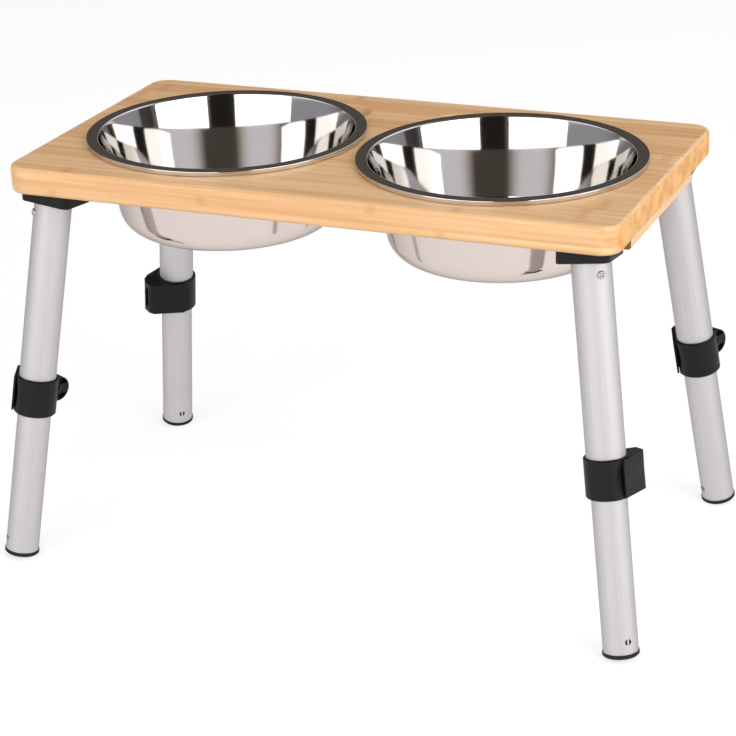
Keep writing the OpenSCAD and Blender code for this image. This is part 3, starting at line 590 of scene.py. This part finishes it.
def steel(name, tones, rough, edge):
    """Stainless steel with fine polishing lines round the bowl, and painted shade in the edge tone where it
    turns away.
    """
    made, tree, shader = new_material(name, Metallic=1.0, Specular_Tint=srgb(edge))
    turn_uv = add(tree, "UVMap", uv_map="turned")
    scale = (RING_SPELLS, 1 / (RING_W * MM), 1.0)
    rings = add(tree, "Mapping", {"Vector": turn_uv, "Scale": scale})
    rings = add(tree, "TexNoise", {"Vector": rings, "Scale": 1.0, "Detail": 2.0})
    mottle(tree, shader, rings, tones, rough)
    bump = add(tree, "Bump", {"Strength": 0.1, "Distance": RING_DEPTH * MM, "Height": rings})
    tree.links.new(bump, shader["Normal"])
    return made


# Steel: the polished inside is a clear mirror, and the satin outside a warmer and softer one. The polishing
# lines are wider than real ones, so that they show.
# The last tone of each is painted shade where the bowl turns away: faint inside, stronger outside.
polished = steel("polished_stainless_steel", ("D9D6D3", "CFCCC9"), (0.035, 0.05), "E7E7E7")
brushed = steel("satin_brushed_stainless_steel", ("DDD0CA", "D2C5BF"), (0.07, 0.06), "BCBCBC")


def arc(at, radius, first, last, steps):
    """Points along an arc, from one angle to another in degrees."""
    angles = [math.radians(first + (last - first) * i / steps) for i in range(steps + 1)]
    return [(at[0] + radius * math.cos(a), at[1] + radius * math.sin(a)) for a in angles]


def straight(first, last, steps):
    """Points between two points."""
    return [(first[0] + (last[0] - first[0]) * i / steps, first[1] + (last[1] - first[1]) * i / steps)
            for i in range(1, steps)]


def fillet_at(start, radius, floor):
    """Centre of the round between a wall that leans in below a point and a floor."""
    lean, level = math.radians(WALL_LEAN), floor + radius
    wall_len = (start[1] - level + radius * math.sin(lean)) / math.cos(lean)
    return start[0] - wall_len * math.sin(lean) - radius * math.cos(lean), level


rim_top = SEAT_GAP + ROLL_H
shoulder = (MOUTH_R + SHOULDER_R, rim_top - SHOULDER_R)
flare_top = arc(shoulder, SHOULDER_R, 180 - FLARE_LEAN, 90, 1)[0]
flare = arc(flare_top, FLARE_R, -FLARE_LEAN, 0, 1)[0]
wall_top = arc(flare, FLARE_R, 180 - WALL_LEAN, 180, 1)[0]
fold_top, fold_low = (RIM_R - FOLD_R, rim_top - FOLD_R), (RIM_R - FOLD_R, SEAT_GAP + FOLD_R)
fillet = fillet_at(wall_top, INNER_FILLET, -BOWL_DEPTH)
inside = [(0, -BOWL_DEPTH)] + straight((0, -BOWL_DEPTH), (fillet[0], -BOWL_DEPTH), FLOOR_STEPS)
inside += arc(fillet, INNER_FILLET, -90, -WALL_LEAN, FILLET_STEPS)
inside += straight(inside[-1], wall_top, WALL_STEPS)
inside += arc(flare, FLARE_R, 180 - WALL_LEAN, 180 - FLARE_LEAN, FLARE_STEPS)
inside += arc(shoulder, SHOULDER_R, 180 - FLARE_LEAN, 90, SHOULDER_STEPS)[1:]
inside += straight(inside[-1], (fold_top[0], rim_top), FLANGE_STEPS)
inside += arc(fold_top, FOLD_R, 90, 0, FOLD_STEPS) + arc(fold_low, FOLD_R, 0, -90, FOLD_STEPS)
inside += [(RIM_R - FOLD_W, SEAT_GAP)]
outside = [(RIM_R - FOLD_W, SEAT_GAP + SHEET), (RIM_R - SHEET, SEAT_GAP + SHEET)]
outside += [(RIM_R - SHEET, rim_top - SHEET)]
outside += straight(outside[-1], (shoulder[0], rim_top - SHEET), FLANGE_STEPS)
outside += arc(shoulder, SHOULDER_R - SHEET, 90, 180 - FLARE_LEAN, FOLD_STEPS)
outside += arc(flare, FLARE_R - SHEET, 180 - FLARE_LEAN, 180 - WALL_LEAN, FLARE_STEPS)[1:]
fillet = fillet_at(outside[-1], OUTER_FILLET, -BOWL_DEPTH - SHEET)
lower = arc(fillet, OUTER_FILLET, -WALL_LEAN, -90, FILLET_STEPS)
outside += straight(outside[-1], lower[0], WALL_STEPS) + lower
outside += straight(lower[-1], (0, -BOWL_DEPTH - SHEET), FLOOR_STEPS) + [(0, -BOWL_DEPTH - SHEET)]
for side, sign in (("left", -1), ("right", 1)):
    where = Matrix.Translation(Vector((sign * BOWL_X, BOWL_Y, BOARD_TOP)) * MM)
    mesh = turned(inside + outside, where, BOWL_STEPS, False)
    bowl = new_piece("steel_bowl_" + side, mesh, polished, BOWL_SMOOTH)
    mesh.materials.append(brushed)
    for face in mesh.polygons:
        face.material_index = 1 if face.index >= (len(inside) - 1) * BOWL_STEPS else 0
    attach(bowl, "bowl_body_" + side)
    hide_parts("bowl_" + side)

# Studio
# A white floor, two large soft boxes beside the camera and a smaller one high at the back. The polished
# bowls show the boxes, the darker room between them and the paler walls at both sides.
EYE = Vector((0.62655, -1.45986, 0.79188))
RIGHT = Vector((0.92320, 0.38306, -0.03111))
UP = Vector((-0.12095, 0.36642, 0.92255))
AHEAD = Vector((-0.36479, 0.84794, -0.38461))
SENSOR, FOCAL_PX, PICTURE_PX = 36.0, 2321.5, 736
FLOOR_R, FLOOR_T, FLOOR_SIDES, FLOOR_GREY, FLOOR_GLOW = 9000, 40, 96, "B3B3B3", 0.66
BOX_HEIGHT, BACK_HEIGHT, LAMP_POWER = 0.92, 0.3, 4
AMBIENT, ROOM_GREY, FLAG_BLUR = 0.55, 0.11, 1.5
camera = bpy.data.objects.new("camera", bpy.data.cameras.new("camera"))
bpy.context.scene.collection.objects.link(camera)
camera.matrix_world = Matrix((
    (RIGHT.x, UP.x, -AHEAD.x, EYE.x), (RIGHT.y, UP.y, -AHEAD.y, EYE.y), (RIGHT.z, UP.z, -AHEAD.z, EYE.z),
    (0, 0, 0, 1)))
camera.data.sensor_width, camera.data.lens = SENSOR, SENSOR * FOCAL_PX / PICTURE_PX
camera.data.clip_end = 50.0
bpy.context.scene.camera = camera
bpy.context.scene.view_settings.view_transform = "Standard"


def seen_share(tree):
    """One on rays that show the background: from the camera, in metal and through clear things."""
    path = add(tree, "LightPath").node.outputs
    share = add(tree, "Math", (path["Is Glossy Ray"], path["Is Transmission Ray"]), operation="MAXIMUM")
    return add(tree, "Math", (path["Is Camera Ray"], share), operation="MAXIMUM")


# White floor: flat white to the eye, and a plain grey under the lamps, so that it keeps the shadows.
white, tree, shader = new_material("white_floor", Roughness=1.0, Specular_IOR_Level=0.0)
shader["Base Color"].default_value = srgb(FLOOR_GREY)
shader["Emission Color"].default_value = srgb("FFFFFF")
glow = add(tree, "Math", (seen_share(tree), FLOOR_GLOW), operation="MULTIPLY")
tree.links.new(glow, shader["Emission Strength"])
floor = new_piece("floor", disc_tool(FLOOR_R, -FLOOR_T, 0, (0, 0), FLOOR_SIDES), white)


def toward(compass, rise=0):
    """A direction by its compass angle from the back and its rise, both in degrees."""
    a, e = math.radians(compass), math.radians(rise)
    return Vector((math.sin(a) * math.cos(e), math.cos(a) * math.cos(e), math.sin(e)))


for name, compass, rise, distance, width, tall, glow in (
        ("soft_box_right", 111, 0, 1.8, 1.83, 1.70, 2.25),
        ("soft_box_left", 192.2, 0, 2.1, 2.20, 1.80, 1.75),
        ("soft_box_back", 38, 48, 2.2, 1.0, 0.7, 1.0)):
    lamp = bpy.data.objects.new(name, bpy.data.lights.new(name, "AREA"))
    bpy.context.scene.collection.objects.link(lamp)
    lamp.data.shape, lamp.data.size, lamp.data.size_y = "RECTANGLE", width, tall
    lamp.data.energy = glow * width * tall * LAMP_POWER
    aim = Vector((0, 0, BOX_HEIGHT if rise == 0 else BACK_HEIGHT))
    at = toward(compass, rise) * distance + aim
    lamp.matrix_world = Matrix.Translation(at) @ (at - aim).to_track_quat("Z", "Y").to_matrix().to_4x4()
    lamp.visible_camera = False
    lamp.visible_glossy = rise == 0

world = bpy.data.worlds.new("studio")
bpy.context.scene.world = world
world.use_nodes = True
tree = world.node_tree
ray = add(tree, "LightPath").node.outputs
ahead = add(tree, "TexCoord", out="Generated")
level = add(tree, "SeparateXYZ", (ahead,), out=2)
flat = add(tree, "VectorMath", (ahead, (1.0, 1.0, 0.0)), operation="MULTIPLY")
flat = add(tree, "VectorMath", (flat,), operation="NORMALIZE")


def near_compass(compass, inner, outer):
    """One within an angle of a compass direction, falling to nothing at a wider angle."""
    dot = add(tree, "VectorMath", (flat, toward(compass)), out="Value", operation="DOT_PRODUCT")
    far, near = math.cos(math.radians(outer)), math.cos(math.radians(inner))
    return add(tree, "MapRange", (dot, far, near), interpolation_type="SMOOTHSTEP")


# What metal shows: pale walls at both sides, a dark gap beside the camera, a dark strip low at the right and
# a white backdrop low behind the stand.
sides = add(tree, "Math", (near_compass(240, 5, 52), near_compass(38, 8, 52)), operation="MAXIMUM")
lift = add(tree, "MapRange", (level, 0.20, 0.42, 0.28, 1.15), interpolation_type="SMOOTHSTEP")
fade = add(tree, "MapRange", (level, 0.77, 0.90, 1.0, 0.0), interpolation_type="SMOOTHSTEP")
lift = add(tree, "Math", (lift, fade), operation="MULTIPLY")
room = add(tree, "Math", (sides, lift, ROOM_GREY), operation="MULTIPLY_ADD")
low = add(tree, "MapRange", (level, 0.25, 0.38, 0.75, 0.0), interpolation_type="SMOOTHSTEP")
for share, compass, reach in ((0.85, 151, 12.5), (low, 74, 7)):
    flag = near_compass(compass, reach - FLAG_BLUR, reach + FLAG_BLUR)
    flag = add(tree, "Math", (flag, share), operation="MULTIPLY")
    flag = add(tree, "Math", (1.0, flag), operation="SUBTRACT")
    room = add(tree, "Math", (room, flag), operation="MULTIPLY")
backdrop = add(tree, "MapRange", (level, 0.04, 0.12, 1.0, 0.0), interpolation_type="SMOOTHSTEP")
backdrop = add(tree, "Math", (near_compass(337, 50, 62), backdrop), operation="MULTIPLY")
metal = add(tree, "Math", (room, backdrop), operation="MAXIMUM")

# The camera sees white, metal sees the room, and other rays see an even grey.
metal = add(tree, "Math", (metal, AMBIENT), operation="SUBTRACT")
glow = add(tree, "Math", (ray["Is Glossy Ray"], metal, AMBIENT), operation="MULTIPLY_ADD")
clear = add(tree, "Math", (ray["Is Camera Ray"], ray["Is Transmission Ray"]), operation="MAXIMUM")
rest = add(tree, "Math", (1.0, glow), operation="SUBTRACT")
glow = add(tree, "Math", (clear, rest, glow), operation="MULTIPLY_ADD")
tone = add(tree, "Mix", {0: sides, 6: srgb("FFF0E4"), 7: srgb("F4F6FF")}, 2, data_type="RGBA")
tone = add(tree, "Mix", {0: ray["Is Glossy Ray"], 6: srgb("FFFFFF"), 7: tone}, 2, data_type="RGBA")
backing = tree.nodes["Background"].inputs
tree.links.new(tone, backing["Color"])
tree.links.new(glow, backing["Strength"])
